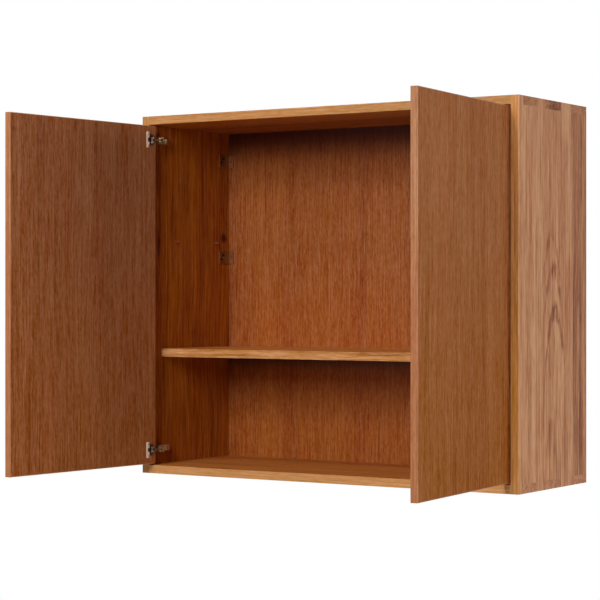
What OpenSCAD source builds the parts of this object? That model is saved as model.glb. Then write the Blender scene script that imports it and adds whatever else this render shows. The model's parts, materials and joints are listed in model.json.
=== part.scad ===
// Wall cabinet with two inset doors on concealed hinges, one shelf and an open box-jointed case.
// Millimetres. +X to the right, the front looks towards -Y, +Z up.
// The origin is the centre of the face that hangs against the wall.
// The doors are drawn standing open, at the stop of their hinges.

/* [Case] */
// Width over the two side panels
width = 1000; // [700:1:1200]
// Height over the top and bottom panels
height = 850; // [700:1:1100]
// Depth from the front edges to the wall
depth = 340; // [300:1:420]
// Thickness of the solid wood side, top and bottom panels
panel_t = 20; // [18:0.5:24]
// Thickness of the back panel
back_t = 6; // [4:0.5:8]
// Width of the rebate that takes the back panel
rebate_w = 10; // [8:0.5:12]
// Bevel that softens the edges of the wood
edge_bevel = 0.8; // [0.3:0.1:1.2]

/* [Corner joints] */
// Distance from the front edge to the first finger of the top and bottom panels
first_finger = 22; // [15:1:30]
// Width of the first finger
finger_1_w = 66; // [50:1:80]
// Space between the first and the second finger
finger_space_1 = 38; // [30:1:50]
// Width of the second finger
finger_2_w = 80; // [60:1:90]
// Space between the second finger and the last one, which runs to the back
finger_space_2 = 54; // [40:1:60]

/* [Shelf] */
// Thickness of the shelf
shelf_t = 20; // [16:0.5:26]
// Distance of the shelf's front edge from the front of the case
shelf_setback = 48; // [25:1:80]
// Gap between the shelf and each side panel
shelf_gap = 1; // [0.5:0.1:2]
// Height of the pins that carry the shelf, from the middle of the case
lower_pins_z = -139; // [-250:1:-60]
// Height of the spare pins, from the middle of the case
upper_pins_z = 129; // [60:1:250]
// Distance of the front pins from the front of the case
front_pin_y = 105; // [80:1:130]
// Distance of the rear pins from the front of the case
rear_pin_y = 270; // [200:1:280]
// Diameter of a shelf pin
pin_d = 5; // [4:0.5:7]
// Length of a shelf pin inside the side panel
pin_in = 10; // [8:0.5:12]
// Length of a shelf pin outside the side panel
pin_out = 9.5; // [6:0.5:12]
// Height of the notches under the shelf that drop over the pins
notch_h = 12.5; // [8:0.5:14]

/* [Doors] */
// Thickness of each door
door_t = 16; // [15:0.5:18]
// Gap between a closed door and the side panel beside it
side_gap = 2; // [1.7:0.1:3]
// Gap between the two closed doors
middle_gap = 2; // [1.6:0.1:4]
// Gap above and below each door
end_gap = 3.5; // [2:0.1:6]
// Thickness of the solid wood edging round each door
edging_t = 2; // [1:0.1:3]
// How far the doors stand open at the stop of their hinges, in degrees
open_angle = 95; // [90:0.5:98]

/* [Hinges] */
// Distance of each hinge from the end of its door
hinge_inset = 33.5; // [28:0.5:80]
// Outer diameter of the hinge cup
cup_d = 26; // [26:0.1:28]
// Depth of the hinge cup in the door
cup_depth = 12; // [11.5:0.1:12.5]
// Wood left between the hinge cup and the door's edge
cup_tab = 3.5; // [3:0.1:4]
// Thickness of the cup's wall and floor
cup_wall = 0.8; // [0.6:0.1:1]
// Distance of the cup's flange from the door's edge
flange_inset = 22.5; // [22:0.1:23]
// Width of the cup's flange
flange_w = 9.5; // [8:0.5:11]
// Height of the cup's flange
flange_h = 38; // [36:0.5:42]
// Thickness of the cup's flange
flange_t = 0.8; // [0.6:0.1:1]
// Distance between the two screws of a cup
cup_screw_spacing = 29; // [28:0.5:31]
// Height of the arm and of the mounting plate
arm_h = 15; // [13:0.5:16]
// Thickness of the arm's metal
arm_t = 2.5; // [1.5:0.1:3]
// Height of the arm's outer face over the side panel
arm_stand = 12; // [10:0.5:13]
// Distance of the arm's rear end from the front of the case
arm_end_y = 46; // [45:0.5:48]
// Distance of the mounting plate's front end from the front of the case
plate_front_y = 27; // [26:0.5:28]
// Length of the mounting plate
plate_l = 50; // [48:0.5:60]
// Thickness of the mounting plate
plate_t = 3; // [2:0.1:4]
// Distance between the two screws of a mounting plate
plate_screw_spacing = 21; // [20:0.5:22]
// Distance of the link's pin in the arm from the door's edge
nose_inset = 24.5; // [24:0.1:25]
// Diameter of the pin that the link turns on
link_pin_d = 2.4; // [2:0.1:2.6]

/* [Wall brackets] */
// Height of each bracket
bracket_h = 30; // [26:1:40]
// Length of the leg on the side panel
bracket_side_l = 42; // [42:1:60]
// Length of the leg on the back panel
bracket_back_l = 14; // [14:1:24]
// Thickness of the bracket's steel
bracket_t = 2; // [1.5:0.1:3]
// Distance of the hole for the wall screw from the side panel
wall_hole_x = 8; // [8:0.5:9]
// Diameter of the hole for the wall screw
wall_hole_d = 5; // [4:0.5:6]
// Distance of the upper brackets' middle from the inside of the top panel
upper_bracket_drop = 70; // [40:1:100]
// Distance between the upper and the lower brackets
bracket_spacing = 242; // [180:1:280]

/* [Screws] */
// Shank diameter of the screws in the back panel
back_screw_d = 3; // [2.5:0.1:3.5]
// Length of the screws in the back panel
back_screw_l = 16; // [14:0.5:20]
// How many screws hold each edge of the back panel
back_screws_per_edge = 4; // [3:1:6]
// Shank diameter of the screws in the hinge plates, brackets and cups
small_screw_d = 3; // [2.5:0.1:3.5]
// Head diameter of those screws
small_head_d = 6; // [5.5:0.1:6.5]
// Length of the screws in the hinge plates and brackets
plate_screw_l = 15; // [12:0.5:16]
// Length of the screws in the cups
cup_screw_l = 11; // [9:0.5:12]
// Shank diameter of the screw that clamps the arm on its plate
arm_screw_d = 4; // [3.5:0.1:5]
// Head diameter of the screw that clamps the arm on its plate
arm_head_d = 6; // [5.5:0.1:8]

/* [Hidden] */
$fn = 40;

// Colours, as the wood and metal show them
oak = [0.60, 0.36, 0.19];
oak_edge = [0.78, 0.52, 0.28];
veneer = [0.47, 0.27, 0.15];
steel = [0.62, 0.60, 0.57];
dark_steel = [0.42, 0.41, 0.40];

// Small clearances
fit_gap = 0.2;
hole_gap = 0.05;
glue_gap = 0.1;
over = 1;

// The inside of the case
inner_w = width - 2 * panel_t;
inner_h = height - 2 * panel_t;
back_y = depth - back_t;

// Where the fingers of the top and bottom panels lie, from the front
finger_1_end = first_finger + finger_1_w;
finger_2_start = finger_1_end + finger_space_1;
finger_2_end = finger_2_start + finger_2_w;
finger_3_start = finger_2_end + finger_space_2;
fingers = [[first_finger, finger_1_end], [finger_2_start, finger_2_end], [finger_3_start, depth + over]];
spaces = [[-over, first_finger], [finger_1_end, finger_2_start], [finger_2_end, finger_3_start]];

// The shelf drops over its pins
shelf_bottom_z = lower_pins_z + pin_d / 2 - notch_h;
shelf_w = inner_w - 2 * shelf_gap;
shelf_d = back_y - fit_gap - shelf_setback;

// The doors, measured when they are closed
door_w = (inner_w - 2 * side_gap - middle_gap) / 2;
door_h = inner_h - 2 * end_gap;
hinge_z = door_h / 2 - hinge_inset;

// The axis that each door turns on, from the side panel and from the front.
// A concealed hinge has no pin there: its links make the door turn about it.
pole = [side_gap + 1.5, 2.5];

// The hinge, in plan: distances from the side panel and from the front, door closed
cup_x = side_gap + cup_tab + cup_d / 2;
cavity_r = cup_d / 2 - cup_wall;
rim_r = cup_d / 2 + 1;
flange_near = side_gap + flange_inset;
flange_far = flange_near + flange_w;
flange_corner_r = 2.5;
cup_screw_x = (flange_near + flange_far) / 2;
nose = [side_gap + nose_inset, door_t - 7.8];
nose_r = 2.6;
neck_w = 4.6;
nose_h = 8;
link_t = 1.2;
link_h = 5;
link_eye_r = 2.2;
link_room = 0.2;
link_bend = [side_gap + 6, door_t + 1.5];
link_tip = [side_gap + 6, door_t - 2.5];
cup_pin_d = 1.8;
crank_y = door_t + 3.5;
arm_x = arm_stand - arm_t / 2;
arm_screw_y = 41;
plate_screws_y = [plate_front_y + 5, plate_front_y + 5 + plate_screw_spacing];
boss_l = 10;
boss_h = 12;
plate_block_x = 8;
plate_block_l = 13.5;
plate_block_h = 11;
plate_block_y = plate_front_y + plate_l - 4 - plate_block_l;
mouth_gap = 0.6;

// The screws that hold a bracket on the side panel, from the back panel and from its middle
bracket_screw_inset = 5.5;
bracket_screw_step = 9;
bracket_screw_places = [[bracket_side_l - bracket_screw_inset - bracket_screw_step, 6],
    [bracket_side_l - bracket_screw_inset, -4]];

// Heights of the brackets' middles
upper_bracket_z = inner_h / 2 - upper_bracket_drop;
lower_bracket_z = upper_bracket_z - bracket_spacing;

// Turns a point of the closed door, in plan, to where it is when the door stands open
function turned(p, a) = [p[0] * cos(a) + p[1] * sin(a), -p[0] * sin(a) + p[1] * cos(a)];
function opened(p) = pole + turned(p - pole, open_angle);

// Everything on the right is the mirror image of the left
module on_side(side) {
    if (side == "left") children();
    else mirror([1, 0, 0]) children();
}

// Puts a plan measured from the left side panel's inner face and the front in its place
module at_hinge(z) {
    translate([-inner_w / 2, -depth, z]) children();
}

// Swings a closed left door to its open position
module swung_open() {
    translate([pole[0], pole[1], 0])
        rotate([0, 0, -open_angle])
            translate([-pole[0], -pole[1], 0])
                children();
}

// A cylinder along +X or +Y that starts at the origin
module rod_x(d, l) {
    rotate([0, 90, 0]) cylinder(d = d, h = l);
}
module rod_y(d, l) {
    rotate([-90, 0, 0]) cylinder(d = d, h = l);
}

// Cutters that bevel an edge running along each axis
module bevel_x(l) {
    rotate([45, 0, 0]) cube([l, edge_bevel * sqrt(2), edge_bevel * sqrt(2)], center = true);
}
module bevel_y(l) {
    rotate([0, 45, 0]) cube([edge_bevel * sqrt(2), l, edge_bevel * sqrt(2)], center = true);
}
module bevel_z(l) {
    rotate([0, 0, 45]) cube([edge_bevel * sqrt(2), edge_bevel * sqrt(2), l], center = true);
}

// Bevels all twelve edges of a box of the given size, centred on the origin
module box_bevels(size) {
    for (y = [-1, 1], z = [-1, 1]) translate([0, y * size[1] / 2, z * size[2] / 2]) bevel_x(size[0] + over);
    for (x = [-1, 1], z = [-1, 1]) translate([x * size[0] / 2, 0, z * size[2] / 2]) bevel_y(size[1] + over);
    for (x = [-1, 1], y = [-1, 1]) translate([x * size[0] / 2, y * size[1] / 2, 0]) bevel_z(size[2] + over);
}

// Bevels of the outside of the case
module case_bevels() {
    translate([0, -depth / 2, 0]) box_bevels([width, depth, height]);
}

// The rebate that the back panel lies in
module back_rebate() {
    translate([-inner_w / 2 - rebate_w, -back_t, -inner_h / 2 - rebate_w])
        cube([inner_w + 2 * rebate_w, back_t + over, inner_h + 2 * rebate_w]);
}

// Blocks in the four corners of the case, one for each stretch of depth in the list.
// They reach past the panel that they cut, by in_x or in_z towards the inside.
module corner_blocks(stretches, in_x, in_z) {
    block_x = panel_t + over + in_x;
    block_z = panel_t + over + in_z;
    for (x = [-1, 1], z = [-1, 1], s = stretches)
        translate([x * (inner_w / 2 - in_x + block_x / 2), (s[0] + s[1]) / 2 - depth,
                z * (inner_h / 2 - in_z + block_z / 2)])
            cube([block_x, s[1] - s[0], block_z], center = true);
}

// Where the screws of the back panel go, as seen from the front
function row(count, length) = [for (i = [0 : count - 1]) length * ((i + 0.5) / count - 0.5)];
back_screw_places = concat(
    [for (s = [-1, 1], z = row(back_screws_per_edge, inner_h)) [s * (inner_w + rebate_w) / 2, z]],
    [for (s = [-1, 1], x = row(back_screws_per_edge, inner_w)) [x, s * (inner_h + rebate_w) / 2]]);

// Holes for the screws of the back panel
module back_screw_holes() {
    for (p = back_screw_places)
        translate([p[0], over, p[1]]) mirror([0, 1, 0])
            rod_y(back_screw_d + 2 * hole_gap, back_screw_l + hole_gap + over);
}

// A pan head screw that points along -X, with the underside of its head at the origin
module pan_screw(d, head_d, l) {
    difference() {
        union() {
            mirror([1, 0, 0]) rod_x(d, l);
            rod_x(head_d, head_d * 0.25);
        }
        for (a = [0, 90]) rotate([a, 0, 0]) translate([head_d * 0.2, 0, 0])
            cube([head_d * 0.2, head_d * 0.6, head_d * 0.12], center = true);
    }
}

// A countersunk screw that points along -X, with the top of its head at the origin
module flat_screw(d, head_d, l) {
    difference() {
        union() {
            mirror([1, 0, 0]) rod_x(d, l);
            rotate([0, -90, 0]) cylinder(d1 = head_d, d2 = d, h = (head_d - d) / 2);
        }
        for (a = [0, 90]) rotate([a, 0, 0])
            cube([head_d * 0.2, head_d * 0.6, head_d * 0.12], center = true);
    }
}

// The hole that a countersunk screw needs, in the same place
module flat_screw_hole(d, head_d, l) {
    mirror([1, 0, 0]) rod_x(d + 2 * hole_gap, l + hole_gap);
    rotate([0, -90, 0]) cylinder(d1 = head_d + 2 * hole_gap, d2 = d + 2 * hole_gap, h = (head_d - d) / 2);
    rod_x(head_d + 2 * hole_gap, over);
}

// Holes in a left side panel for the shelf pins, the hinge plates and the brackets
module side_panel_holes() {
    for (y = [front_pin_y, rear_pin_y], z = [lower_pins_z, upper_pins_z])
        at_hinge(z) translate([over, y, 0]) mirror([1, 0, 0]) rod_x(pin_d + 2 * hole_gap, pin_in + hole_gap + over);
    for (z = [-hinge_z, hinge_z], y = plate_screws_y)
        at_hinge(z) translate([over, y, 0]) mirror([1, 0, 0])
            rod_x(small_screw_d + 2 * hole_gap, plate_screw_l - plate_t + hole_gap + over);
    for (z = [upper_bracket_z, lower_bracket_z], p = bracket_screw_places)
        at_hinge(z + p[1]) translate([over, back_y - p[0], 0]) mirror([1, 0, 0])
            rod_x(small_screw_d + 2 * hole_gap, plate_screw_l - bracket_t + hole_gap + over);
}

// Solid wood side panel, notched at both ends for the fingers of the top and bottom
module side_panel(side) {
    color(oak) on_side(side) difference() {
        translate([-width / 2, -depth, -height / 2]) cube([panel_t, depth, height]);
        corner_blocks(fingers, over, 0);
        back_rebate();
        back_screw_holes();
        side_panel_holes();
        case_bevels();
        translate([-inner_w / 2, -depth, 0]) bevel_z(inner_h);
    }
}

// Solid wood top or bottom panel, with fingers that show on the outside of the case
module level_panel(z) {
    color(oak) difference() {
        translate([-width / 2, -depth, z * height / 2 - (z > 0 ? panel_t : 0)]) cube([width, depth, panel_t]);
        corner_blocks(spaces, 0, over);
        back_rebate();
        back_screw_holes();
        case_bevels();
        translate([0, -depth, z * inner_h / 2]) bevel_x(inner_w);
    }
}

module top_panel() {
    level_panel(1);
}

module bottom_panel() {
    level_panel(-1);
}

// Thin panel let into the back of the case
module back_panel() {
    w = inner_w + 2 * rebate_w - 2 * fit_gap;
    h = inner_h + 2 * rebate_w - 2 * fit_gap;
    color(veneer) difference() {
        translate([-w / 2, -back_t, -h / 2]) cube([w, back_t, h]);
        for (p = back_screw_places) translate([p[0], 0, p[1]]) rotate([0, 0, 90])
            flat_screw_hole(back_screw_d, small_head_d, back_screw_l);
        wall_screw_holes();
    }
}

// Holes through the brackets and the back panel, for the screws that hang the case
module wall_screw_holes() {
    for (x = [-1, 1], z = [upper_bracket_z, lower_bracket_z])
        translate([x * (inner_w / 2 - wall_hole_x), -back_t - bracket_t - over, z])
            rod_y(wall_hole_d, back_t + bracket_t + 2 * over);
}

// Screws in the back panel
module back_panel_screws() {
    color(dark_steel) for (p = back_screw_places) translate([p[0], 0, p[1]]) rotate([0, 0, 90])
        flat_screw(back_screw_d, small_head_d, back_screw_l);
}

// Loose shelf with four stopped notches underneath, which hide the pins
module shelf() {
    color(oak) difference() {
        translate([-shelf_w / 2, shelf_setback - depth, shelf_bottom_z]) cube([shelf_w, shelf_d, shelf_t]);
        for (x = [-1, 1], y = [front_pin_y, rear_pin_y])
            translate([x * (inner_w - pin_out) / 2, y - depth, shelf_bottom_z + notch_h / 2 - over / 2])
                cube([pin_out + 2 * fit_gap, pin_d + 2 * fit_gap, notch_h + over], center = true);
        for (z = [shelf_bottom_z, shelf_bottom_z + shelf_t]) translate([0, shelf_setback - depth, z])
            bevel_x(shelf_w + over);
    }
}

// A row of four shelf pins at one height
module pin_row(z) {
    color(steel) for (side = ["left", "right"]) on_side(side)
        for (y = [front_pin_y, rear_pin_y])
            at_hinge(z) translate([-pin_in, y, 0]) rod_x(pin_d, pin_in + pin_out);
}

module shelf_pins() {
    pin_row(lower_pins_z);
}

module spare_shelf_pins() {
    pin_row(upper_pins_z);
}

// Angle bracket in a back corner, screwed to the side panel and open for a wall screw
module wall_bracket(side, z) {
    color(steel) difference() {
        on_side(side) difference() {
            at_hinge(z) translate([0, back_y - bracket_side_l, -bracket_h / 2]) difference() {
                cube([bracket_back_l, bracket_side_l, bracket_h]);
                translate([bracket_t, -over, -over])
                    cube([bracket_back_l, bracket_side_l - bracket_t + over, bracket_h + 2 * over]);
            }
            for (p = bracket_screw_places) at_hinge(z + p[1]) translate([-over, back_y - p[0], 0])
                rod_x(small_screw_d + 2 * hole_gap, bracket_t + 2 * over);
        }
        wall_screw_holes();
    }
}

// Screws that hold the brackets on the side panels
module bracket_screws() {
    color(dark_steel) for (side = ["left", "right"]) on_side(side)
        for (z = [upper_bracket_z, lower_bracket_z], p = bracket_screw_places)
            at_hinge(z + p[1]) translate([bracket_t, back_y - p[0], 0])
                pan_screw(small_screw_d, small_head_d, plate_screw_l);
}

// Plate that carries a hinge arm, screwed to the side panel
module mounting_plate(side, z) {
    color(dark_steel) on_side(side) at_hinge(z) difference() {
        union() {
            translate([0, plate_front_y, -arm_h / 2]) cube([plate_t, plate_l, arm_h]);
            translate([0, arm_screw_y - boss_l / 2, -boss_h / 2]) cube([arm_x - arm_t / 2, boss_l, boss_h]);
            translate([0, plate_block_y, -plate_block_h / 2])
                cube([plate_block_x, plate_block_l, plate_block_h]);
        }
        for (y = plate_screws_y) translate([plate_t, y, 0])
            flat_screw_hole(small_screw_d, small_head_d, plate_screw_l);
        translate([plate_t + hole_gap, arm_screw_y, 0]) rod_x(arm_screw_d + 2 * hole_gap, arm_stand);
    }
}

// Screws that hold the mounting plates on the side panels
module plate_screws() {
    color(steel) for (side = ["left", "right"]) on_side(side)
        for (z = [-hinge_z, hinge_z], y = plate_screws_y)
            at_hinge(z) translate([plate_t, y, 0]) flat_screw(small_screw_d, small_head_d, plate_screw_l);
}

// A flat bar bent in plan along three points, with square ends
function left_of(p, q) = [p[1] - q[1], q[0] - p[0]] / norm(q - p);
function mitre(p, q, r) = (left_of(p, q) + left_of(q, r)) / (1 + left_of(p, q) * left_of(q, r));
module bent_bar(p, q, r, t, h) {
    half = t / 2;
    linear_extrude(h, center = true) polygon([
        p + half * left_of(p, q), q + half * mitre(p, q, r), r + half * left_of(q, r),
        r - half * left_of(q, r), q - half * mitre(p, q, r), p - half * left_of(p, q)]);
}

// Arm that reaches from its plate over the door's edge and into the cup
module hinge_arm(side, z) {
    color(steel) on_side(side) at_hinge(z) difference() {
        union() {
            bent_bar([arm_x, arm_end_y], [arm_x, crank_y], [nose[0] + nose_r, crank_y], arm_t, arm_h);
            translate([nose[0] - neck_w / 2, nose[1], -nose_h / 2])
                cube([neck_w, crank_y - nose[1], nose_h]);
            translate([nose[0], nose[1], -nose_h / 2]) cylinder(r = nose_r, h = nose_h);
        }
        translate([nose[0], nose[1], -link_h / 2 - link_room])
            cylinder(r = nose_r + 3 * link_room, h = link_h + 2 * link_room);
        translate([nose[0], nose[1], -arm_h / 2]) cylinder(d = link_pin_d + 2 * hole_gap, h = arm_h);
        translate([arm_x - arm_t, arm_screw_y, 0]) rod_x(arm_screw_d + 2 * hole_gap, 2 * arm_t);
    }
}

// Screws that clamp the arms on their plates
module arm_screws() {
    color(steel) for (side = ["left", "right"]) on_side(side)
        for (z = [-hinge_z, hinge_z])
            at_hinge(z) translate([arm_stand, arm_screw_y, 0])
                pan_screw(arm_screw_d, arm_head_d, arm_stand - plate_t - fit_gap);
}

// Pins in the arms' noses, which the links turn on
module arm_pivot_pins() {
    color(steel) for (side = ["left", "right"]) on_side(side)
        for (z = [-hinge_z, hinge_z])
            at_hinge(z) translate([nose[0], nose[1], -nose_h / 2]) cylinder(d = link_pin_d, h = nose_h);
}

// Bent link between the arm's nose and the cup, where the door stands open
module hinge_link(side, z) {
    bend = opened(link_bend);
    tip = opened(link_tip);
    color(steel) on_side(side) at_hinge(z) difference() {
        union() {
            bent_bar(nose, bend, tip, link_t, link_h);
            translate([nose[0], nose[1], -link_h / 2]) cylinder(r = link_eye_r, h = link_h);
        }
        translate([nose[0], nose[1], -link_h]) cylinder(d = link_pin_d + 2 * hole_gap, h = 2 * link_h);
    }
}

// Holes in a closed left door for its two cups and their screws
module door_holes() {
    for (z = [-hinge_z, hinge_z]) {
        translate([cup_x, door_t - cup_depth - fit_gap, z]) rod_y(cup_d + 2 * hole_gap, cup_depth + over);
        for (s = [-1, 1])
            translate([cup_screw_x, door_t + flange_t - cup_screw_l - hole_gap, z + s * cup_screw_spacing / 2])
            rod_y(small_screw_d + 2 * hole_gap, cup_screw_l + over);
    }
}

// Veneered board of a door, with the bores for its hinge cups
module door_board(side) {
    color(veneer) on_side(side) at_hinge(0) swung_open() difference() {
        translate([side_gap + edging_t, 0, edging_t - door_h / 2])
            cube([door_w - 2 * edging_t, door_t, door_h - 2 * edging_t]);
        door_holes();
    }
}

// Four solid wood strips round a door: long ones up its sides and short ones between
module door_edging(side) {
    short_l = door_w - 2 * edging_t - 2 * glue_gap;
    color(oak_edge) on_side(side) at_hinge(0) swung_open() difference() {
        union() {
            for (x = [side_gap, side_gap + door_w - edging_t]) translate([x, 0, -door_h / 2])
                cube([edging_t, door_t, door_h]);
            for (z = [-door_h / 2, door_h / 2 - edging_t]) translate([side_gap + edging_t + glue_gap, 0, z])
                cube([short_l, door_t, edging_t]);
        }
        translate([side_gap + door_w / 2, door_t / 2, 0]) box_bevels([door_w, door_t, door_h]);
    }
}

// The mouth of a cup: round as far as the flange, with a notch in the flange for the arm's neck
module cup_mouth(l) {
    notch_far = nose[0] + nose_r + mouth_gap - cup_x;
    notch_h = nose_h + 2 * mouth_gap;
    intersection() {
        rod_y(2 * cavity_r, l);
        union() {
            translate([-cavity_r, 0, -cavity_r]) cube([cavity_r + flange_near - cup_x, l, 2 * cavity_r]);
            translate([0, 0, -notch_h / 2]) cube([notch_far, l, notch_h]);
        }
    }
}

// Hinge cup pressed into the door, with its flange on the door's inner face
module hinge_cup(side, z) {
    color(steel) on_side(side) at_hinge(z) swung_open() difference() {
        union() {
            translate([cup_x, door_t - cup_depth, 0]) rod_y(cup_d, cup_depth);
            translate([cup_x, door_t, 0]) rod_y(2 * rim_r, flange_t);
            translate([flange_near, door_t, -flange_h / 2 + flange_corner_r])
                cube([flange_w, flange_t, flange_h - 2 * flange_corner_r]);
            translate([flange_near + flange_corner_r, door_t, -flange_h / 2])
                cube([flange_w - 2 * flange_corner_r, flange_t, flange_h]);
            for (x = [flange_near + flange_corner_r, flange_far - flange_corner_r], s = [-1, 1])
                translate([x, door_t, s * (flange_h / 2 - flange_corner_r)]) rod_y(2 * flange_corner_r, flange_t);
        }
        translate([cup_x, door_t - cup_depth + cup_wall, 0]) rod_y(2 * cavity_r, cup_depth - 2 * cup_wall);
        translate([cup_x, door_t - 1.5 * cup_wall, 0]) cup_mouth(cup_depth);
        for (s = [-1, 1]) translate([cup_screw_x, door_t - over, s * cup_screw_spacing / 2])
            rod_y(small_screw_d + 2 * hole_gap, flange_t + 2 * over);
        translate([link_tip[0], link_tip[1], -cup_d / 2]) cylinder(d = cup_pin_d + 2 * hole_gap, h = cup_d);
    }
}

// Screws that hold the two cups of a door
module cup_screws(side) {
    color(dark_steel) on_side(side) for (z = [-hinge_z, hinge_z], s = [-1, 1])
        at_hinge(z) swung_open() translate([cup_screw_x, door_t + flange_t, s * cup_screw_spacing / 2])
            rotate([0, 0, 90]) pan_screw(small_screw_d, small_head_d - 0.5, cup_screw_l);
}

// Stub pins in the cup's wall, on either side of the link's tip
module cup_pins(side) {
    pin_near = link_h / 2 + 3 * link_room;
    pin_far = sqrt(pow(cup_d / 2, 2) - pow(cup_x - link_tip[0] + cup_pin_d / 2, 2)) - hole_gap;
    color(steel) on_side(side) for (z = [-hinge_z, hinge_z], s = [-1, 1])
        at_hinge(z) swung_open() translate([link_tip[0], link_tip[1], s * (pin_near + pin_far) / 2])
            cylinder(d = cup_pin_d, h = pin_far - pin_near, center = true);
}

side_panel("left");  // side_panel_left
side_panel("right");  // side_panel_right
top_panel();
bottom_panel();
back_panel();
shelf();
shelf_pins();
spare_shelf_pins();
back_panel_screws();
wall_bracket("left", upper_bracket_z);  // wall_bracket_left_upper
wall_bracket("left", lower_bracket_z);  // wall_bracket_left_lower
wall_bracket("right", upper_bracket_z);  // wall_bracket_right_upper
wall_bracket("right", lower_bracket_z);  // wall_bracket_right_lower
bracket_screws();
mounting_plate("left", hinge_z);  // mounting_plate_left_upper
mounting_plate("left", -hinge_z);  // mounting_plate_left_lower
mounting_plate("right", hinge_z);  // mounting_plate_right_upper
mounting_plate("right", -hinge_z);  // mounting_plate_right_lower
plate_screws();
hinge_arm("left", hinge_z);  // hinge_arm_left_upper
hinge_arm("left", -hinge_z);  // hinge_arm_left_lower
hinge_arm("right", hinge_z);  // hinge_arm_right_upper
hinge_arm("right", -hinge_z);  // hinge_arm_right_lower
arm_screws();
arm_pivot_pins();
door_board("left");  // left_door_board
door_edging("left");  // left_door_edging
hinge_cup("left", hinge_z);  // hinge_cup_left_upper
hinge_cup("left", -hinge_z);  // hinge_cup_left_lower
cup_screws("left");  // left_cup_screws
cup_pins("left");  // left_cup_pins
door_board("right");  // right_door_board
door_edging("right");  // right_door_edging
hinge_cup("right", hinge_z);  // hinge_cup_right_upper
hinge_cup("right", -hinge_z);  // hinge_cup_right_lower
cup_screws("right");  // right_cup_screws
cup_pins("right");  // right_cup_pins
hinge_link("left", hinge_z);  // hinge_link_left_upper
hinge_link("left", -hinge_z);  // hinge_link_left_lower
hinge_link("right", hinge_z);  // hinge_link_right_upper
hinge_link("right", -hinge_z);  // hinge_link_right_lower
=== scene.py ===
import json
import math
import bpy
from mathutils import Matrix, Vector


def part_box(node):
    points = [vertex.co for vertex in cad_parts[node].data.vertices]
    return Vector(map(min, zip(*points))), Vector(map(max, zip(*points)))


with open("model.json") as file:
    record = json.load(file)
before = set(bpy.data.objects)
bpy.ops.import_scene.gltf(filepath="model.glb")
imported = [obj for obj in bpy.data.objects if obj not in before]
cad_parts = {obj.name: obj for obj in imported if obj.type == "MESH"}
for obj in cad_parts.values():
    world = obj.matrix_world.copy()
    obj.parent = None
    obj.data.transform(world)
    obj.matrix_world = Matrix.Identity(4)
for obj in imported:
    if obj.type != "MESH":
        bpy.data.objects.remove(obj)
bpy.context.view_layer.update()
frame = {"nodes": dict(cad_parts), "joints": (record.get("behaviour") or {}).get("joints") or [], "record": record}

from types import SimpleNamespace

import bpy
from mathutils import Matrix, Vector

scene = bpy.context.scene

# Sizes and places in metres, from the frame
side_low, side_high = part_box("side_panel_left")
top_low, top_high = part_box("top_panel")
shelf_low, shelf_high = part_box("shelf")
cup_low, cup_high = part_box("hinge_cup_left_upper")
door_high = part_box("left_door_edging")[1].z
width = top_high.x - top_low.x
depth = -top_low.y
height = side_high.z - side_low.z
panel_t = side_high.x - side_low.x
side_middle = width / 2 - panel_t / 2
level_middle = height / 2 - panel_t / 2
shelf_middle = (shelf_low.z + shelf_high.z) / 2
under_top = side_high.z - panel_t
under_shelf = shelf_low.z
cup_z = (cup_low.z + cup_high.z) / 2
open_angle = math.radians(max(frame["joints"][0]["range_deg"]))
pole = {joint["child"]: Vector(joint["pos_m"]) for joint in frame["joints"]}

# Sizes of the doors, which their boxes don't give while they stand open
door_t = 0.016
edging_t = 0.002
side_gap = 0.002
door_edge = width / 2 - panel_t - side_gap


def rgb(red, green, blue):
    """A colour given as a screen shows it, from 0 to 255, as the shaders want it."""
    linear = [((c / 255 + 0.055) / 1.055) ** 2.4 if c > 10 else c / 255 / 12.92 for c in (red, green, blue)]
    return (*linear, 1.0)


def grey(value):
    return (value, value, value, 1.0)


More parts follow.
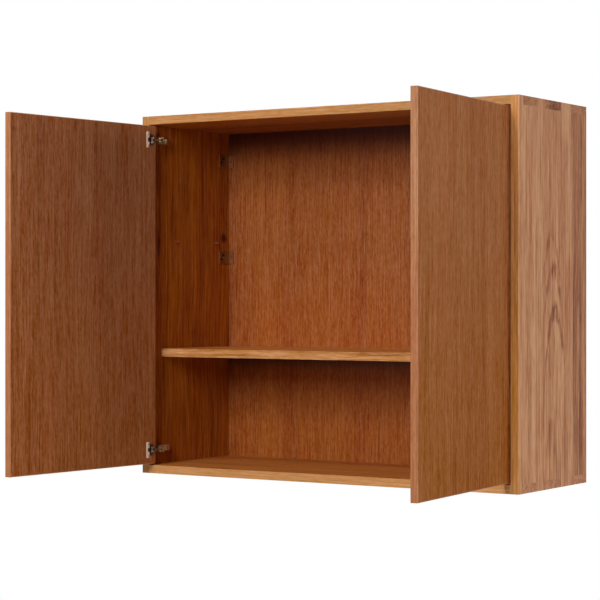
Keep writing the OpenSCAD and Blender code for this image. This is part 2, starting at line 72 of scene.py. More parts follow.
class Tree:
    """The nodes of a material or of the world, with short calls. An input is a number, a tuple or
    another node's output."""

    def __init__(self, owner):
        self.owner = owner
        self.owner.use_nodes = True
        self.nodes = owner.node_tree.nodes
        self.links = owner.node_tree.links
        self.nodes.clear()

    def add(self, kind, inputs, **settings):
        made = self.nodes.new("ShaderNode" + kind)
        for name, value in settings.items():
            setattr(made, name, value)
        for name, value in inputs.items():
            if isinstance(value, bpy.types.NodeSocket):
                self.links.new(value, made.inputs[name])
            else:
                made.inputs[name].default_value = value
        return made

    def math(self, operation, *values, clamp=False):
        return self.add("Math", dict(enumerate(values)), operation=operation, use_clamp=clamp).outputs[0]

    def vector(self, operation, *values):
        return self.add("VectorMath", dict(enumerate(values)), operation=operation).outputs[0]

    def split(self, vector):
        return self.add("SeparateXYZ", {0: vector}).outputs[:3]

    def by_axis(self, vector):
        return dict(zip("xyz", self.split(vector)))

    def join(self, *values):
        return self.add("CombineXYZ", dict(enumerate(values))).outputs[0]

    def clamp(self, value):
        """The value, kept between 0 and 1."""
        return self.math("ADD", value, 0.0, clamp=True)

    def centred(self, value):
        """A value around 0.5, moved to lie around 0."""
        return self.math("SUBTRACT", value, 0.5)

    def product(self, first, *others):
        for value in others:
            first = self.math("MULTIPLY", first, value)
        return first

    def layered(self, start, *layers):
        """The start, with each layer added to it. A layer is a value and its amount."""
        for value, amount in layers:
            start = self.math("ADD", start, self.math("MULTIPLY", value, amount))
        return start

    def distance(self, a, b):
        squares = self.math("ADD", self.math("MULTIPLY", a, a), self.math("MULTIPLY", b, b))
        return self.math("SQRT", squares)

    def step(self, value, low, high):
        """Rises smoothly from 0 at low to 1 at high."""
        made = self.add("MapRange", {0: value, 1: low, 2: high}, interpolation_type="SMOOTHSTEP")
        return made.outputs[0]

    def near(self, place, centre, size):
        """1 at a place on a face, falling to 0 at the given distances across and along."""
        away = self.vector("DIVIDE", self.vector("SUBTRACT", place, (*centre, 0.0)), (*size, 1.0))
        length = self.add("VectorMath", {0: away}, operation="LENGTH").outputs["Value"]
        return self.step(length, 1.0, 0.0)

    def blend(self, share, a, b, how="MIX"):
        return self.add("Mix", {0: share, 6: a, 7: b}, data_type="RGBA", blend_type=how).outputs[2]

    def tinted(self, colour, tint, share=1.0):
        """The colour multiplied by a tint, as far as the share says."""
        return self.blend(share, colour, tint, "MULTIPLY")

    def either(self, share, a, b):
        return self.add("Mix", {0: share, 4: a, 5: b}, data_type="VECTOR").outputs[1]

    def ramp(self, value, stops, how="LINEAR"):
        made = self.add("ValToRGB", {0: value})
        bar = made.color_ramp
        bar.interpolation = how
        bar.elements.remove(bar.elements[1])
        bar.elements[0].position, bar.elements[0].color = stops[0]
        for place, colour in stops[1:]:
            bar.elements.new(place).color = colour
        return made.outputs["Color"]

    def line_noise(self, place, scale=1.0):
        """Noise along a line, around 0.5."""
        made = self.add("TexNoise", {"W": place, "Scale": scale, "Detail": 1.0}, noise_dimensions="1D")
        return made.outputs["Fac"]

    def streaks(self, grain, across, along, detail=2.0, seed=0.0, rough=0.5):
        """Noise around 0.5, drawn out along the grain, with its two sizes in metres."""
        shift = (seed, 1.7 * seed, 0.6 * seed)
        place = self.vector("MULTIPLY_ADD", grain, (1 / across, 1 / across, 1 / along), shift)
        made = self.add("TexNoise", {"Vector": place, "Scale": 1.0, "Detail": detail, "Roughness": rough})
        return made.outputs["Fac"]

    def swing(self, *streak_values):
        """Streaks around 0."""
        return self.centred(self.streaks(*streak_values))

    def finish(self, colour, roughness, relief, bump, shine=0.5, metallic=0.0):
        """Ends a material in one shader. bump is the height of its relief in metres."""
        shader = self.add("BsdfPrincipled", {
            "Base Color": colour, "Roughness": roughness, "Specular IOR Level": shine, "Metallic": metallic,
            "Normal": self.add("Bump", {"Height": relief, "Distance": bump}).outputs[0]})
        self.add("OutputMaterial", {"Surface": shader.outputs[0]})
        return self.owner


def new_tree(name):
    return Tree(bpy.data.materials.new(name))


# Wood

SOLID = {"light": rgb(198, 142, 90), "mid": rgb(172, 112, 60), "dark": rgb(118, 62, 20),
         "red": rgb(162, 88, 44)}
VENEER = {"light": rgb(175, 102, 48), "mid": rgb(151, 81, 33), "dark": rgb(103, 49, 17),
          "red": rgb(147, 66, 25)}
EDGING = {"light": rgb(196, 136, 88), "mid": rgb(178, 116, 70), "dark": rgb(136, 80, 44),
          "red": rgb(174, 98, 58)}

# The tint of end grain, the paler colour painted on front edges as the light that falls on them, the step in red,
# green and blue from dark to pale streaks, and the darkest colour that they may reach
END_GRAIN = rgb(200, 130, 90)
LIT_FRONT_EDGE = rgb(214, 160, 96)
PALE_STEP = (0.190, 0.120, 0.082)
DARKEST = (0.004, 0.002, 0.001)

# Tints, as shares of a bare colour. The first ones paint the light and shade that fall on each face of the solid
# panels:
# shade on the inner walls and under the top, light on the level, outer and front faces
WALL_SHADE = (0.880, 0.580, 0.090, 1.0)
TOP_UNDERSIDE_SHADE = (0.760, 0.430, 0.060, 1.0)
LEVEL_FACE_LIGHT = (1.049, 0.846, 0.450, 1.0)
OUTER_FACE_LIGHT = (1.185, 1.205, 1.450, 1.0)
FRONT_EDGE_LIGHT = (0.985, 0.903, 0.850, 1.0)
TOP_FRONT_EDGE_LIGHT = (0.945, 0.865, 0.850, 1.0)
SHELF_FRONT_EDGE_LIGHT = (0.920, 0.800, 0.740, 1.0)
RIGHT_FRONT_EDGE_LIGHT = (0.900, 0.790, 0.560, 1.0)
RIGHT_LOW_FRONT_EDGE_LIGHT = (1.110, 1.000, 0.700, 1.0)
# A darker grey that a face's tint goes towards along its grain
DARKER_END_GREY = grey(0.5)
KNOT = (0.250, 0.120, 0.100, 1.0)
# The doors' outer and inner tints set the veneer's colour and paint the different light that falls on each face
DOOR_OUTER_LIGHT = (1.270, 1.690, 3.100, 1.0)
DOOR_INNER_LIGHT = (1.090, 1.420, 2.850, 1.0)
LEFT_DOOR_LOW = (1.010, 0.920, 0.710, 1.0)
RIGHT_DOOR_LOW = (0.860, 0.770, 0.440, 1.0)
# Painted shade on a door's outer face and outer edge beside the hinges, where it stands in the case
HINGE_SHADE = (0.510, 0.410, 0.420, 1.0)
LEFT_EDGING_TINT = (1.000, 0.970, 0.950, 1.0)
RIGHT_EDGING_TINT = (0.810, 0.780, 0.700, 1.0)
LOW_EDGING = (0.955, 0.850, 0.760, 1.0)
BACK_TINT = (1.050, 1.060, 0.840, 1.0)
# Painted light on the back's middle and on its part below the shelf
MIDDLE_BACK_LIGHT = (1.120, 1.180, 1.420, 1.0)
LOWER_BACK_LIGHT = (1.080, 1.160, 1.050, 1.0)
BACK_LOW = (1.040, 0.970, 0.760, 1.0)
# Painted shade in the back's corners under the top and under the shelf
TOP_CORNER_SHADE = (0.190, 0.055, 0.010, 1.0)
SHELF_CORNER_SHADE = (0.080, 0.015, 0.002, 1.0)

# Light and dark leaves of veneer: the place, as a share of the case's width, and the tone around 0.5
BACK_LEAVES = [(0.02, 0.68), (0.055, 0.60), (0.11, 0.42), (0.15, 0.42), (0.21, 0.52), (0.27, 0.51),
               (0.34, 0.48), (0.40, 0.54), (0.45, 0.44), (0.49, 0.50), (0.54, 0.57), (0.62, 0.47),
               (0.75, 0.55), (0.9, 0.48)]
LEFT_LEAVES = [(0.02, 0.38), (0.10, 0.44), (0.22, 0.50), (0.34, 0.52), (0.50, 0.62)]
RIGHT_LEAVES = [(0.50, 0.50), (0.60, 0.46), (0.70, 0.53), (0.80, 0.47), (0.90, 0.50), (0.98, 0.56)]

# Staves of a glued-up panel: where each starts, as a share of the panel's width from the front,
# how dark it is from 0 to 1, and where the tree's heart lies: from the front and from the panel's middle
RIGHT_STAVES = [(0.0, 0.34, -0.060, -0.075), (0.235, 0.42, 0.160, -0.090), (0.606, 0.40, 0.330, 0.060),
                (0.785, 0.71, 0.060, -0.070)]
LEFT_STAVES = [(0.0, 0.56, -0.090, -0.060), (0.075, 0.50, 0.190, -0.095), (0.33, 0.42, 0.330, 0.080),
               (0.74, 0.46, 0.180, -0.075)]
TOP_STAVES = [(0.0, 0.34, 0.020, 0.110), (0.26, 0.44, 0.250, -0.060), (0.43, 0.78, 0.100, -0.080),
              (0.61, 0.44, 0.120, 0.080), (0.80, 0.28, 0.420, -0.090)]
BOTTOM_STAVES = [(0.0, 0.42, 0.020, 0.110), (0.30, 0.50, 0.250, -0.060), (0.62, 0.45, 0.120, 0.080),
                 (0.80, 0.40, 0.420, -0.090)]
SHELF_STAVES = [(0.0, 0.42, 0.030, -0.100), (0.38, 0.50, 0.310, 0.070), (0.70, 0.38, 0.160, -0.080)]

# Growth rings that stand out: where the peak lies, from the front and along the grain, and how dark it is
RIGHT_ARCHES = [(0.160, 0.130, 0.7), (0.170, 0.056, 1.0), (0.178, -0.036, 1.5)]

# Knots: where each lies, from the front and along the grain, its sizes that way, and how far it is burnt
RIGHT_KNOTS = [(0.306, -0.053, 0.002, 0.010, 0.0)]
LEFT_KNOTS = [(0.306, 0.142, 0.012, 0.011, 1.0), (0.036, 0.120, 0.004, 0.030, 0.7)]

# A face counts as turned along an axis as its normal's part on that axis goes from one value to the other
TURNED = (0.6, 0.9)
TURNED_TO_END = (0.55, 0.8)

# Each stave has marks of its own, because its tone times this length shifts them along the grain
STAVE_SHIFT = 37.0


def wood_colour(tree, palette, dark, red):
    """Goes from light to dark wood as dark goes from 0 to 1, and towards red."""
    base = tree.ramp(dark, [(0.0, palette["light"]), (0.5, palette["mid"]), (1.0, palette["dark"])])
    return tree.blend(red, base, palette["red"])


def fine_grain(tree, grain, across, lengths, seed):
    """Streaks of one width and several lengths added together, around 0."""
    total = 0.0
    for number, along in enumerate(lengths):
        total = tree.math("ADD", total, tree.swing(grain, across, along, 2.0, seed + 7 * number, 0.65))
    return total


def paler(tree, colour, value, amount):
    """Adds streaks that are paler or darker by about the same step in red, green and blue, as seen."""
    lifted = tree.vector("MULTIPLY_ADD", tree.math("MULTIPLY", value, amount), PALE_STEP, colour)
    return tree.vector("MAXIMUM", lifted, DARKEST)


def pore_grooves(tree, fibre, pores):
    return tree.math("SUBTRACT", tree.math("MULTIPLY", fibre, 0.5), tree.math("MULTIPLY", pores, 0.6))


def stave_values(tree, across, staves):
    """The tone of the stave that a place lies in, and where that stave's heart lies. The ramp holds no
    value below 0, so the heart's place is kept in it 1 m further on."""
    stops = [(start, (tone, heart_x + 1, heart_y + 1, 1)) for start, tone, heart_x, heart_y in staves]
    tone, heart_x, heart_y = tree.split(tree.ramp(tree.math("DIVIDE", across, depth), stops, "CONSTANT"))
    return tone, tree.math("SUBTRACT", heart_x, 1.0), tree.math("SUBTRACT", heart_y, 1.0)


def knot_reaches(tree, flat, knots):
    """For each knot, how far the grain bends round it and how far a place lies in it, both from 0 to 1,
    and how far it is burnt."""
    reaches = []
    for *centre, wide, long, burn in knots:
        bend = tree.near(flat, centre, (8 * wide, 5 * long))
        core = tree.near(flat, centre, (1.5 * wide, 1.5 * long))
        reaches.append((bend, core, burn))
    return reaches


def late_wood(tree, radius, ring, phase):
    """How dark the growth rings are at a distance from the heart. Each darkens slowly outwards and ends
    sharply. They differ in width, and a few of them are much darker than the rest."""
    uneven = 1.6
    rings = tree.math("ADD", tree.math("DIVIDE", radius, ring), phase)
    rings = tree.layered(rings, (tree.line_noise(rings, 0.31), uneven))
    number = tree.math("FLOOR", rings)
    part = tree.math("SUBTRACT", rings, number)
    stops = [(0.0, 0.0), (0.45, 0.25), (0.82, 1.0), (0.93, 1.0), (1.0, 0.0)]
    late = tree.ramp(part, [(place, grey(value)) for place, value in stops])
    chance = tree.add("TexWhiteNoise", {"W": number}, noise_dimensions="1D").outputs["Value"]
    return tree.math("MULTIPLY", late, tree.layered(0.12, (tree.math("POWER", chance, 2.5), 0.9)))


def arch(tree, across, along, wander, peak_across, peak_along):
    """A line that opens downwards from its peak, as a growth ring does on a flat-sawn face."""
    heart_depth = 0.1
    taper = 0.09
    thickness = 0.0027
    gone_below, full_below = 0.16, 0.04
    a = tree.math("ADD", tree.math("SUBTRACT", across, peak_across), wander)
    radius = tree.math("SQRT", tree.math("MULTIPLY_ADD", a, a, heart_depth ** 2))
    peak_radius = heart_depth + taper * peak_along
    outside = tree.math("SUBTRACT", tree.math("MULTIPLY_ADD", along, taper, radius), peak_radius)
    line = tree.step(tree.math("ABSOLUTE", outside), thickness, 0.0)
    return tree.math("MULTIPLY", line, tree.step(along, peak_along - gone_below, peak_along - full_below))


def front_streak(tree, at):
    """A streak that wanders along the middle of the front edge, with gaps, in the upper half."""
    wander = 0.012
    gone_from, full_from = 0.0035, 0.001
    sideways = tree.math("MULTIPLY", tree.swing(at.grain, 1.0, 0.16, 2.0, at.seed + 17), wander)
    off = tree.math("ABSOLUTE", tree.math("SUBTRACT", at.through, sideways))
    streak = tree.step(off, gone_from, full_from)
    gaps = tree.step(tree.streaks(at.grain, 1.0, 0.11, 2.0, at.seed + 19), 0.36, 0.62)
    return tree.product(streak, gaps, tree.step(at.along, -0.02, 0.12))


def panel_place(tree, axes, middle, inward, staves, knots, sway, seed):
    """Where a place lies in a panel and in its stave, and which way the face is turned there."""
    coordinates = tree.add("TexCoord", {}).outputs
    place = tree.by_axis(coordinates["Object"])
    at = SimpleNamespace(seed=seed)
    at.across = tree.math("ADD", place[axes[0]], depth)
    at.through = tree.math("SUBTRACT", place[axes[1]], middle)
    at.along = place[axes[2]]
    if sway:
        leans_per_metre = 2.6
        lean = tree.line_noise(tree.math("MULTIPLY_ADD", at.along, leans_per_metre, seed))
        at.across = tree.math("MULTIPLY_ADD", tree.centred(lean), sway, at.across)
    at.grain = tree.join(at.across, at.through, at.along)
    at.tone, at.heart_across, at.heart_through = stave_values(tree, at.across, staves)
    shift = tree.math("MULTIPLY", at.tone, STAVE_SHIFT)
    at.own_grain = tree.vector("ADD", at.grain, tree.join(0.0, 0.0, shift))
    at.knots = knot_reaches(tree, tree.join(at.across, at.along, 0.0), knots)

    normal = tree.by_axis(coordinates["Normal"])
    sideways = normal[axes[1]]
    inwards = tree.math("MULTIPLY", sideways, inward) if inward else tree.math("ABSOLUTE", sideways)
    at.inner = tree.step(inwards, *TURNED)
    at.front = tree.step(tree.math("MULTIPLY", normal["y"], -1.0), *TURNED)
    at.end = tree.step(tree.math("ABSOLUTE", normal[axes[2]]), *TURNED_TO_END)
    return at


def panel_rings(tree, at, wander, ring, phase):
    """The growth rings of each stave. They lie round its heart, taper slowly along the tree, wander with
    the grain and bend round knots."""
    taper = 0.043
    knot_bend = 0.010
    a = tree.math("ADD", tree.math("SUBTRACT", at.across, at.heart_across), wander)
    b = tree.math("SUBTRACT", at.through, at.heart_through)
    radius = tree.layered(tree.distance(a, b), (at.along, taper))
    for bend, core, burn in at.knots:
        radius = tree.layered(radius, (bend, knot_bend))
    return late_wood(tree, radius, ring, phase)


def panel_wood(tree, at, ring, phase, late_share, contrast, calm, fine, clouds, arches):
    """The bare wood of a panel: its colour, how dark it is from 0 to 1, and the relief of its surface."""
    slow_wander, quick_wander = 0.022, 0.0035
    slow = tree.swing(at.own_grain, 0.09, 0.38, 2.0, at.seed)
    quick = tree.swing(at.own_grain, 0.014, 0.13, 2.0, at.seed + 3)
    wander = tree.layered(0.0, (slow, slow_wander), (quick, quick_wander))
    late = panel_rings(tree, at, wander, ring, phase)
    fibre = tree.swing(at.own_grain, 0.0042, 0.16, 3.0, at.seed + 5, 0.62)
    lines = tree.swing(at.own_grain, 0.011, 0.45, 2.0, at.seed + 6, 0.6)
    bands = tree.swing(at.own_grain, 0.030, 0.9, 2.0, at.seed + 8)
    pores = tree.step(tree.streaks(at.own_grain, 0.0009, 0.011, 1.0, at.seed + 11), 0.58, 0.72)
    cloudy = tree.swing(at.own_grain, 0.020, 0.09, 2.0, at.seed + 31)

    marks = tree.math("MULTIPLY", tree.math("SUBTRACT", late, 0.22), late_share)
    marks = tree.layered(marks, (fibre, fine), (lines, 0.9 / fine), (bands, 0.7 / fine), (pores, 0.13))
    strength = tree.math("MULTIPLY_ADD", at.inner, contrast * (1.0 - calm), contrast * calm)
    dark = tree.math("MULTIPLY_ADD", marks, strength, at.tone)
    dark = tree.math("MULTIPLY_ADD", cloudy, clouds, dark)
    blotches = tree.step(tree.streaks(at.own_grain, 0.010, 0.035, 2.0, at.seed + 27), 0.38, 0.62)
    blotches = tree.math("MULTIPLY_ADD", blotches, 0.75, 0.25)
    bent = tree.math("MULTIPLY_ADD", fibre, 0.020, wander)
    for peak_across, peak_along, darkness in arches:
        line = arch(tree, at.across, at.along, bent, peak_across, peak_along)
        dark = tree.math("MULTIPLY_ADD", tree.math("MULTIPLY", line, blotches), darkness, dark)
    for bend, core, burn in at.knots:
        dark = tree.math("ADD", dark, core)
    dark = tree.clamp(dark)

    red = tree.step(tree.streaks(at.own_grain, 0.035, 0.5, 2.0, at.seed + 14), 0.46, 0.75)
    red = tree.math("MULTIPLY", red, 0.45)
    red = tree.math("MULTIPLY_ADD", tree.math("MAXIMUM", cloudy, 0.0), 2.0 * clouds, red)
    return wood_colour(tree, SOLID, dark, red), dark, pore_grooves(tree, fibre, pores)


def panel_light_and_knots(tree, colour, at, inner_tint, front_tint, low_front_tint, fade):
    """Each face of a panel gets its own tint, which paints the light and shade that fall on it. Burnt knots are
    dark on all of them.
    """
    tint = tree.blend(at.inner, OUTER_FACE_LIGHT, inner_tint)
    if low_front_tint:
        front_tint = tree.blend(tree.step(at.along, 0.05, -0.20), front_tint, low_front_tint)
    tint = tree.blend(at.front, tint, front_tint)
    if fade:
        # The tint goes towards a darker grey along the grain, as far as fade says
        tint = tree.blend(tree.math("MULTIPLY", tree.step(at.along, -0.3, 0.45), fade), tint, DARKER_END_GREY)
    for bend, core, burn in at.knots:
        tint = tree.tinted(tint, KNOT, tree.math("MULTIPLY", core, burn))
    return tree.tinted(colour, tint)


def solid_wood(name, axes, middle, staves, seed, inward, inner_tint, front_tint, low_front_tint=None,
               ring=0.0036, phase=0.0, late_share=0.52, contrast=1.0, calm=1.0, fine=1.0, clouds=0.0,
               arches=(), knots=(), sway=0.0, edge_red=0.0, fade=0.0, shine=0.5):
    """A panel glued up from staves, each cut from its own place in a tree, so that the growth rings run
    through faces, edges and end grain alike.

    axes: the axes across the face, through the board and along the grain
    middle: where the middle of the board's thickness lies
    inward: the sign of the inner face's normal, or 0 where both faces are inside the case
    low_front_tint: the painted light on the front edge low down, where it differs
    ring, phase: a growth ring's width, and where the first one starts, in rings
    late_share: how strongly the rings show
    contrast: how strongly every mark shows on the inner face
    calm: the share of that contrast on the other faces
    fine: above 1, the fine fibre shows more and the broad bands show less
    clouds: how strongly soft, reddish dark patches show
    sway: how far the grain leans to and fro along the panel
    edge_red: how strongly a red streak shows along the front edge
    fade: how far the tint goes to a darker grey towards the far end of the grain
    shine: the shader's specular level"""
    tree = new_tree(name)
    at = panel_place(tree, axes, middle, inward, staves, knots, sway, seed)
    colour, dark, relief = panel_wood(tree, at, ring, phase, late_share, contrast, calm, fine, clouds,
                                      arches)

    # End grain drinks more oil and is darker, and a paler colour is painted on the front edges as the light that
    # falls on them
    end_share, front_light_share = 0.22, 0.6
    colour = tree.tinted(colour, END_GRAIN, tree.math("MULTIPLY", at.end, end_share))
    colour = tree.blend(tree.math("MULTIPLY", at.front, front_light_share), colour, LIT_FRONT_EDGE)
    if edge_red:
        streak = tree.product(front_streak(tree, at), at.front, edge_red)
        colour = tree.blend(streak, colour, SOLID["red"])

    # Painted light and shade on each face, and the dark of burnt knots
    colour = panel_light_and_knots(tree, colour, at, inner_tint, front_tint, low_front_tint, fade)
    pale = fine_grain(tree, at.own_grain, 0.0045, (0.03, 0.11, 0.4), seed + 23)
    amount = tree.math("MULTIPLY_ADD", at.inner, -0.5 * contrast, 1.3 * contrast)
    roughness = tree.layered(0.42, (dark, 0.12))
    return tree.finish(paler(tree, colour, pale, amount), roughness, relief, 0.00012, shine)


def closed_place(tree, place, child, side):
    """Where a point of an open door lies when the door is closed. side is 1 for the left door and -1
    for the right one, as the sign of its hinge's axis."""
    turn = Matrix.Rotation(side * open_angle, 3, "Z")
    shift = pole[child] - turn @ pole[child]
    rotation = (0.0, 0.0, side * open_angle)
    made = tree.add("Mapping", {"Vector": place, "Location": shift, "Rotation": rotation})
    return made.outputs[0]


def hinge_shade_share(tree, across):
    """The share of the painted shade beside the hinges: 1 on the outermost part of a closed door, which stays in
    the case when it opens, falling to 0.
    """
    gone_from, full_from = 0.028, 0.008
    inset = tree.math("SUBTRACT", door_edge, tree.math("ABSOLUTE", across))
    return tree.step(inset, gone_from, full_from)


def door_light_and_shade(tree, colour, across, normal_x, side):
    """The two faces of a door get tints that set the veneer's colour and paint the light on each, and the outer
    one gets painted shade beside the hinges.
    """
    outer = tree.step(tree.math("MULTIPLY", normal_x, -float(side)), 0.0, 0.5)
    colour = tree.tinted(colour, tree.blend(outer, DOOR_INNER_LIGHT, DOOR_OUTER_LIGHT))
    return tree.tinted(colour, HINGE_SHADE, tree.math("MULTIPLY", outer, hinge_shade_share(tree, across)))


def back_light_and_shade(tree, colour, along, normal_y):
    """Painted light makes the back's inner face paler in the middle and below the shelf, and painted shade darkens
    its corners under the top and under the shelf."""
    middle_top = (0.29, 0.13)
    middle_bottom = (-0.04, 0.09)
    top_shade_height = 0.085
    shelf_shade_height = 0.052
    lit_middle = tree.math("MULTIPLY", tree.step(along, *middle_top), tree.step(along, *middle_bottom))
    below = tree.math("LESS_THAN", along, under_shelf)
    in_shelf_shade = tree.math("MULTIPLY", tree.step(along, under_shelf - shelf_shade_height, under_shelf), below)
    seen = tree.tinted(colour, MIDDLE_BACK_LIGHT, lit_middle)
    seen = tree.tinted(seen, LOWER_BACK_LIGHT, below)
    seen = tree.tinted(seen, TOP_CORNER_SHADE, tree.step(along, under_top - top_shade_height, under_top))
    seen = tree.tinted(seen, SHELF_CORNER_SHADE, in_shelf_shade)
    return tree.blend(tree.step(normal_y, 0.0, -0.5), colour, seen)


def veneer(name, tones, seed, low_tint, shine, child=None, side=0):
    """Straight-grained veneer, with its grain upright. child and side name the door that it covers, and
    without them it covers the back panel. tones lists its leaves, low_tint is its tint at the bottom and
    shine the shader's specular level."""
    tree = new_tree(name)
    coordinates = tree.add("TexCoord", {}).outputs
    normal = tree.by_axis(coordinates["Normal"])
    place = coordinates["Object"]
    if child:
        place = closed_place(tree, place, child, side)
    across = tree.by_axis(place)["x"]
    along = tree.by_axis(place)["z"]
    bend = tree.math("MULTIPLY", tree.swing(place, 0.12, 0.35, 2.0, seed), 0.012)
    grain = tree.vector("ADD", place, tree.join(bend, 0.0, 0.0))
    bands = tree.swing(grain, 0.035, 1.3, 2.0, seed + 2)
    lines = tree.swing(grain, 0.008, 0.42, 3.0, seed + 4, 0.6)
    fibre = tree.swing(grain, 0.0022, 0.07, 3.0, seed + 6, 0.6)
    pores = tree.step(tree.streaks(grain, 0.0008, 0.012, 1.0, seed + 8), 0.60, 0.74)

    share = tree.math("ADD", tree.math("DIVIDE", across, width), 0.5)
    leaves = tree.ramp(share, [(at, grey(tone)) for at, tone in tones])
    dark = tree.math("SUBTRACT", leaves, 0.08)
    dark = tree.clamp(tree.layered(dark, (bands, 0.40), (lines, 0.55), (fibre, 0.6), (pores, 0.25)))
    red = tree.step(tree.streaks(grain, 0.05, 0.8, 2.0, seed + 10), 0.45, 0.75)
    colour = wood_colour(tree, VENEER, dark, tree.math("MULTIPLY", red, 0.3))
    if child:
        # Painted light on each face of a door, and painted shade beside the hinges
        colour = door_light_and_shade(tree, colour, across, normal["x"], side)
    else:
        colour = tree.tinted(colour, BACK_TINT)
    colour = tree.tinted(colour, low_tint, tree.step(along, 0.35, -0.40))
    pale = fine_grain(tree, grain, 0.0034, (0.012, 0.045, 0.2), seed + 12)
    colour = paler(tree, colour, pale, 1.25)
    if not child:
        # Painted light and shade on the back's inner face
        colour = back_light_and_shade(tree, colour, along, normal["y"])
    roughness = tree.layered(0.46, (dark, 0.12))
    return tree.finish(colour, roughness, pore_grooves(tree, fibre, pores), 0.00008, shine)


def edging(name, child, side, seed, tint):
    """Solid strips round a door. Their grain follows them: upright at the sides, level at the ends."""
    tree = new_tree(name)
    place = closed_place(tree, tree.add("TexCoord", {}).outputs["Object"], child, side)
    across, through, along = tree.split(place)
    level = tree.math("GREATER_THAN", tree.math("ABSOLUTE", along), door_high - edging_t)
    grain = tree.either(level, place, tree.join(along, through, across))
    bands = tree.swing(grain, 0.012, 0.8, 2.0, seed)
    lines = tree.swing(grain, 0.0035, 0.2, 3.0, seed + 2, 0.6)
    pores = tree.step(tree.streaks(grain, 0.0008, 0.010, 1.0, seed + 4), 0.60, 0.74)
    dark = tree.clamp(tree.layered(0.42, (bands, 0.6), (lines, 0.9), (pores, 0.2)))
    red = tree.step(tree.streaks(grain, 0.02, 0.3, 2.0, seed + 6), 0.45, 0.75)
    colour = wood_colour(tree, EDGING, dark, tree.math("MULTIPLY", red, 0.5))
    pale = fine_grain(tree, grain, 0.004, (0.02, 0.08, 0.3), seed + 8)
    colour = paler(tree, tree.tinted(colour, tint), pale, 1.2)
    colour = tree.tinted(colour, LOW_EDGING, tree.step(along, 0.24, 0.04))

    # Painted shade darkens the outer edge beside the hinges, to this far into the door's thickness
    shade_depth = 0.004
    outer = tree.step(through, shade_depth - depth, -depth)
    colour = tree.tinted(colour, HINGE_SHADE, tree.math("MULTIPLY", outer, hinge_shade_share(tree, across)))
    return tree.finish(colour, tree.layered(0.42, (dark, 0.1)), lines, 0.00008)


# Metal

def metal(name, colour, roughness, seed, front=None):
    """Plated steel, with faint marks of rolling and handling. front is a paler colour, painted on the faces
    that are turned to the front as the light that falls on them, where it differs."""
    tree = new_tree(name)
    coordinates = tree.add("TexCoord", {}).outputs
    cloudy = tree.streaks(coordinates["Object"], 0.006, 0.006, 3.0, seed)
    scratches = tree.streaks(coordinates["Object"], 0.0006, 0.012, 2.0, seed + 2)
    # Painted light: a paler colour on the faces turned to the front
    if front:
        turned = tree.step(tree.by_axis(coordinates["Normal"])["y"], -0.4, -0.7)
        colour = tree.blend(turned, colour, front)
    worn = tree.clamp(tree.layered(0.25, (tree.centred(cloudy), 0.5)))
    colour = tree.tinted(colour, grey(0.72), worn)
    rough = tree.layered(roughness - 0.09, (cloudy, 0.18), (tree.centred(scratches), 0.12))
    return tree.finish(colour, rough, scratches, 0.00002, metallic=1.0)


def cup_shade_and_glint(name, child, side):
    """A hinge cup of cast metal: a pale satin flange, and a cup coloured dark as painted shade, with a painted
    highlight in a pale band on the wall that is nearest to the door's edge. Each pair of sizes says where a mark
    begins and where it is full."""
    flange_from_edge = 0.0224
    flange_skin = 0.0002
    glint_from_edge = 0.0085
    glint_top = (0.0056, 0.0064)
    glint_bottom = (0.0102, 0.0094)
    glint_half = (0.0078, 0.0066)
    # dark is the cup's painted shade; pale is the flange's satin colour and the painted highlight's colour
    dark, pale = rgb(98, 58, 36), rgb(255, 236, 216)
    dull = rgb(215, 205, 195)
    tree = new_tree(name)
    object_place = tree.add("TexCoord", {}).outputs["Object"]
    across, through, along = tree.split(closed_place(tree, object_place, child, side))
    inset = tree.math("SUBTRACT", door_edge, tree.math("ABSOLUTE", across))
    inner_face = door_t - depth
    flange = tree.math("MULTIPLY", tree.math("GREATER_THAN", inset, flange_from_edge),
                       tree.math("GREATER_THAN", through, inner_face - flange_skin))
    from_middle = tree.math("ABSOLUTE", tree.math("SUBTRACT", tree.math("ABSOLUTE", along), cup_z))
    deep = tree.math("SUBTRACT", inner_face, through)
    on_wall = tree.math("LESS_THAN", inset, glint_from_edge)
    # The band of painted highlight on the cup's wall
    painted_glint = tree.product(tree.step(deep, *glint_top), tree.step(deep, *glint_bottom), on_wall,
                         tree.step(from_middle, *glint_half))
    cloudy = tree.streaks(object_place, 0.004, 0.004, 3.0, 3.0)
    colour = tree.blend(tree.math("MAXIMUM", flange, painted_glint), dark, pale)
    colour = tree.tinted(colour, dull, tree.math("MULTIPLY", cloudy, 0.3))
    roughness = tree.math("MULTIPLY_ADD", cloudy, 0.15, 0.40)
    return tree.finish(colour, roughness, cloudy, 0.00003, metallic=0.05)


# The pieces and their materials

def paint(node, material):
    """Gives a piece its material, in place of the plain one that it came with."""
    mesh = frame["nodes"][node].data
    mesh.materials.clear()
    mesh.materials.append(material)


paint("side_panel_right", solid_wood(
    "wood_side_right", "yxz", side_middle, RIGHT_STAVES, 2.0, -1, WALL_SHADE, RIGHT_FRONT_EDGE_LIGHT,
    RIGHT_LOW_FRONT_EDGE_LIGHT, ring=0.0052, phase=0.4, late_share=0.30, contrast=1.3, clouds=0.6,
    arches=RIGHT_ARCHES, knots=RIGHT_KNOTS, edge_red=0.7))
paint("side_panel_left", solid_wood(
    "wood_side_left", "yxz", -side_middle, LEFT_STAVES, 31.0, 1, WALL_SHADE, FRONT_EDGE_LIGHT,
    late_share=0.35, contrast=1.35, calm=0.5, fine=1.7, clouds=0.5, knots=LEFT_KNOTS, sway=0.035,
    shine=0.25))
paint("top_panel", solid_wood(
    "wood_top", "yzx", level_middle, TOP_STAVES, 52.0, -1, TOP_UNDERSIDE_SHADE, TOP_FRONT_EDGE_LIGHT,
    contrast=1.3, fade=0.3, shine=0.3))
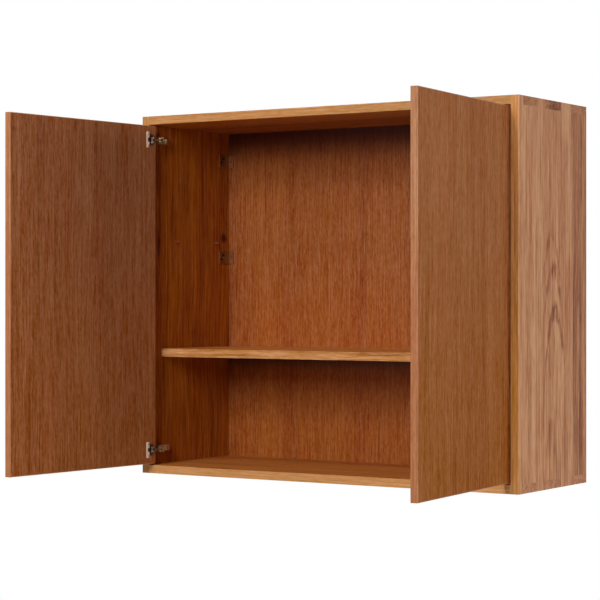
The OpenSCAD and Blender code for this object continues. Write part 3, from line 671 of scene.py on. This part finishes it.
paint("bottom_panel", solid_wood(
    "wood_bottom", "yzx", -level_middle, BOTTOM_STAVES, 73.0, 1, LEVEL_FACE_LIGHT, FRONT_EDGE_LIGHT, contrast=1.2))
paint("shelf", solid_wood(
    "wood_shelf", "yzx", shelf_middle, SHELF_STAVES, 94.0, 0, LEVEL_FACE_LIGHT, SHELF_FRONT_EDGE_LIGHT, contrast=2.0))
paint("back_panel", veneer("veneer_back", BACK_LEAVES, 11.0, BACK_LOW, 0.35))
paint("left_door_board", veneer(
    "veneer_left_door", LEFT_LEAVES, 22.0, LEFT_DOOR_LOW, 0.03, "left_door", 1))
paint("right_door_board", veneer(
    "veneer_right_door", RIGHT_LEAVES, 33.0, RIGHT_DOOR_LOW, 0.03, "right_door", -1))
paint("left_door_edging", edging("edging_left_door", "left_door", 1, 44.0, LEFT_EDGING_TINT))
paint("right_door_edging", edging("edging_right_door", "right_door", -1, 55.0, RIGHT_EDGING_TINT))

slot_metals = {
    "nickel": metal("nickel", rgb(212, 194, 160), 0.36, 1.0),
    # The brackets' faces turned to the front get a paler colour, as painted light
    "bracket_steel": metal("bracket_steel", rgb(128, 94, 56), 0.42, 7.0, rgb(176, 118, 82)),
    "screw_steel": metal("screw_steel", rgb(176, 172, 164), 0.30, 13.0)}
for part in frame["record"]["subparts"]:
    if part["material_slot"] in slot_metals:
        paint(part["node"], slot_metals[part["material_slot"]])

pin_steel = metal("pin_steel", rgb(214, 160, 124), 0.34, 17.0)
paint("shelf_pins", pin_steel)
paint("spare_shelf_pins", pin_steel)
paint("bracket_screws", metal("bracket_screw_steel", rgb(66, 44, 30), 0.40, 9.0))

# The links are coloured dark brown, as painted shade
shaded_link_steel = metal("shaded_link_steel", rgb(98, 66, 46), 0.44, 19.0)
cup_screw_steel = metal("cup_screw_steel", rgb(236, 216, 200), 0.55, 15.0)
for hand, side in (("left", 1), ("right", -1)):
    cup = cup_shade_and_glint(hand + "_cup_shade_and_glint", hand + "_door", side)
    paint(hand + "_cup_screws", cup_screw_steel)
    for level in ("upper", "lower"):
        paint(f"hinge_cup_{hand}_{level}", cup)
        paint(f"hinge_link_{hand}_{level}", shaded_link_steel)


# Camera, as the photograph's perspective gives it: level, at the height of the case's middle and to its
# right. The picture's side, the focal length and the row that the camera points at are in pixels.
picture = 600
focal = 2022.1
axis_row = 296.09
camera_place = (2.4330, -4.1981, -0.0032)
camera_turn = 32.787
camera = bpy.data.objects.new("camera", bpy.data.cameras.new("camera"))
camera.location = camera_place
camera.rotation_euler = (math.radians(90), 0.0, math.radians(camera_turn))
camera.data.sensor_fit = "HORIZONTAL"
camera.data.sensor_width = 36.0
camera.data.lens = focal / picture * camera.data.sensor_width
camera.data.shift_y = (axis_row - picture / 2) / picture
scene.collection.objects.link(camera)
scene.camera = camera
scene.view_settings.view_transform = "Standard"


# Light

def softbox(name, place, size, power):
    """A soft lamp, turned to the front of the case."""
    target = Vector((0.0, -0.25, 0.0))
    lamp = bpy.data.lights.new(name, "AREA")
    lamp.shape = "RECTANGLE"
    lamp.size, lamp.size_y = size
    lamp.energy = power
    made = bpy.data.objects.new(name, lamp)
    made.location = place
    made.rotation_euler = (target - Vector(place)).to_track_quat("-Z", "Y").to_euler()
    scene.collection.objects.link(made)


softbox("key", (0.7, -4.4, 1.5), (1.0, 1.7), 114)
softbox("high", (-0.5, -3.0, 3.4), (0.8, 0.8), 54)
softbox("right", (4.4, -1.1, 0.2), (1.8, 0.8), 79)
softbox("rear", (-2.2, 1.9, 2.4), (1.4, 1.4), 92)

# The world shows white to the camera and a little less to what mirrors it, and sheds no light itself
mirrored_share = 0.74
studio = Tree(bpy.data.worlds.new("studio"))
rays = studio.add("LightPath", {}).outputs
shown = studio.math("MAXIMUM", rays["Is Camera Ray"], rays["Is Transmission Ray"])
mirrored = studio.math("MULTIPLY", rays["Is Glossy Ray"], mirrored_share)
strength = studio.math("MAXIMUM", shown, mirrored)
background = studio.add("Background", {"Color": grey(1.0), "Strength": strength})
studio.add("OutputWorld", {"Surface": background.outputs[0]})
scene.world = studio.owner

# Floor, as far below the case as a floor lies below a hung cabinet. It fades out towards its rim and
# glows a little to the camera and in mirrors, which pales it without lighting the cabinet.
floor_drop = 1.0
floor_r = 6.0
fade_from, fade_to = 2.0, 4.5
glow_share = 0.48
bpy.ops.mesh.primitive_circle_add(vertices=96, radius=floor_r, fill_type="NGON",
                                  location=(0, 0, -height / 2 - floor_drop))
floor = bpy.context.object
floor.name = "floor"
tree = new_tree("floor")
place = tree.by_axis(tree.add("TexCoord", {}).outputs["Object"])
away = tree.distance(place["x"], place["y"])
rays = tree.add("LightPath", {}).outputs
seen = tree.math("MAXIMUM", rays["Is Camera Ray"],
                 tree.math("MAXIMUM", rays["Is Glossy Ray"], rays["Is Transmission Ray"]))
matt = tree.add("BsdfDiffuse", {"Color": rgb(236, 235, 232)})
glow = tree.add("Emission", {"Color": grey(1.0), "Strength": tree.math("MULTIPLY", seen, glow_share)})
solid = tree.add("AddShader", {0: matt.outputs[0], 1: glow.outputs[0]})
clear = tree.add("BsdfTransparent", {})
surface = tree.add("MixShader", {0: tree.step(away, fade_from, fade_to), 1: solid.outputs[0],
                                 2: clear.outputs[0]})
tree.add("OutputMaterial", {"Surface": surface.outputs[0]})
floor.data.materials.append(tree.owner)
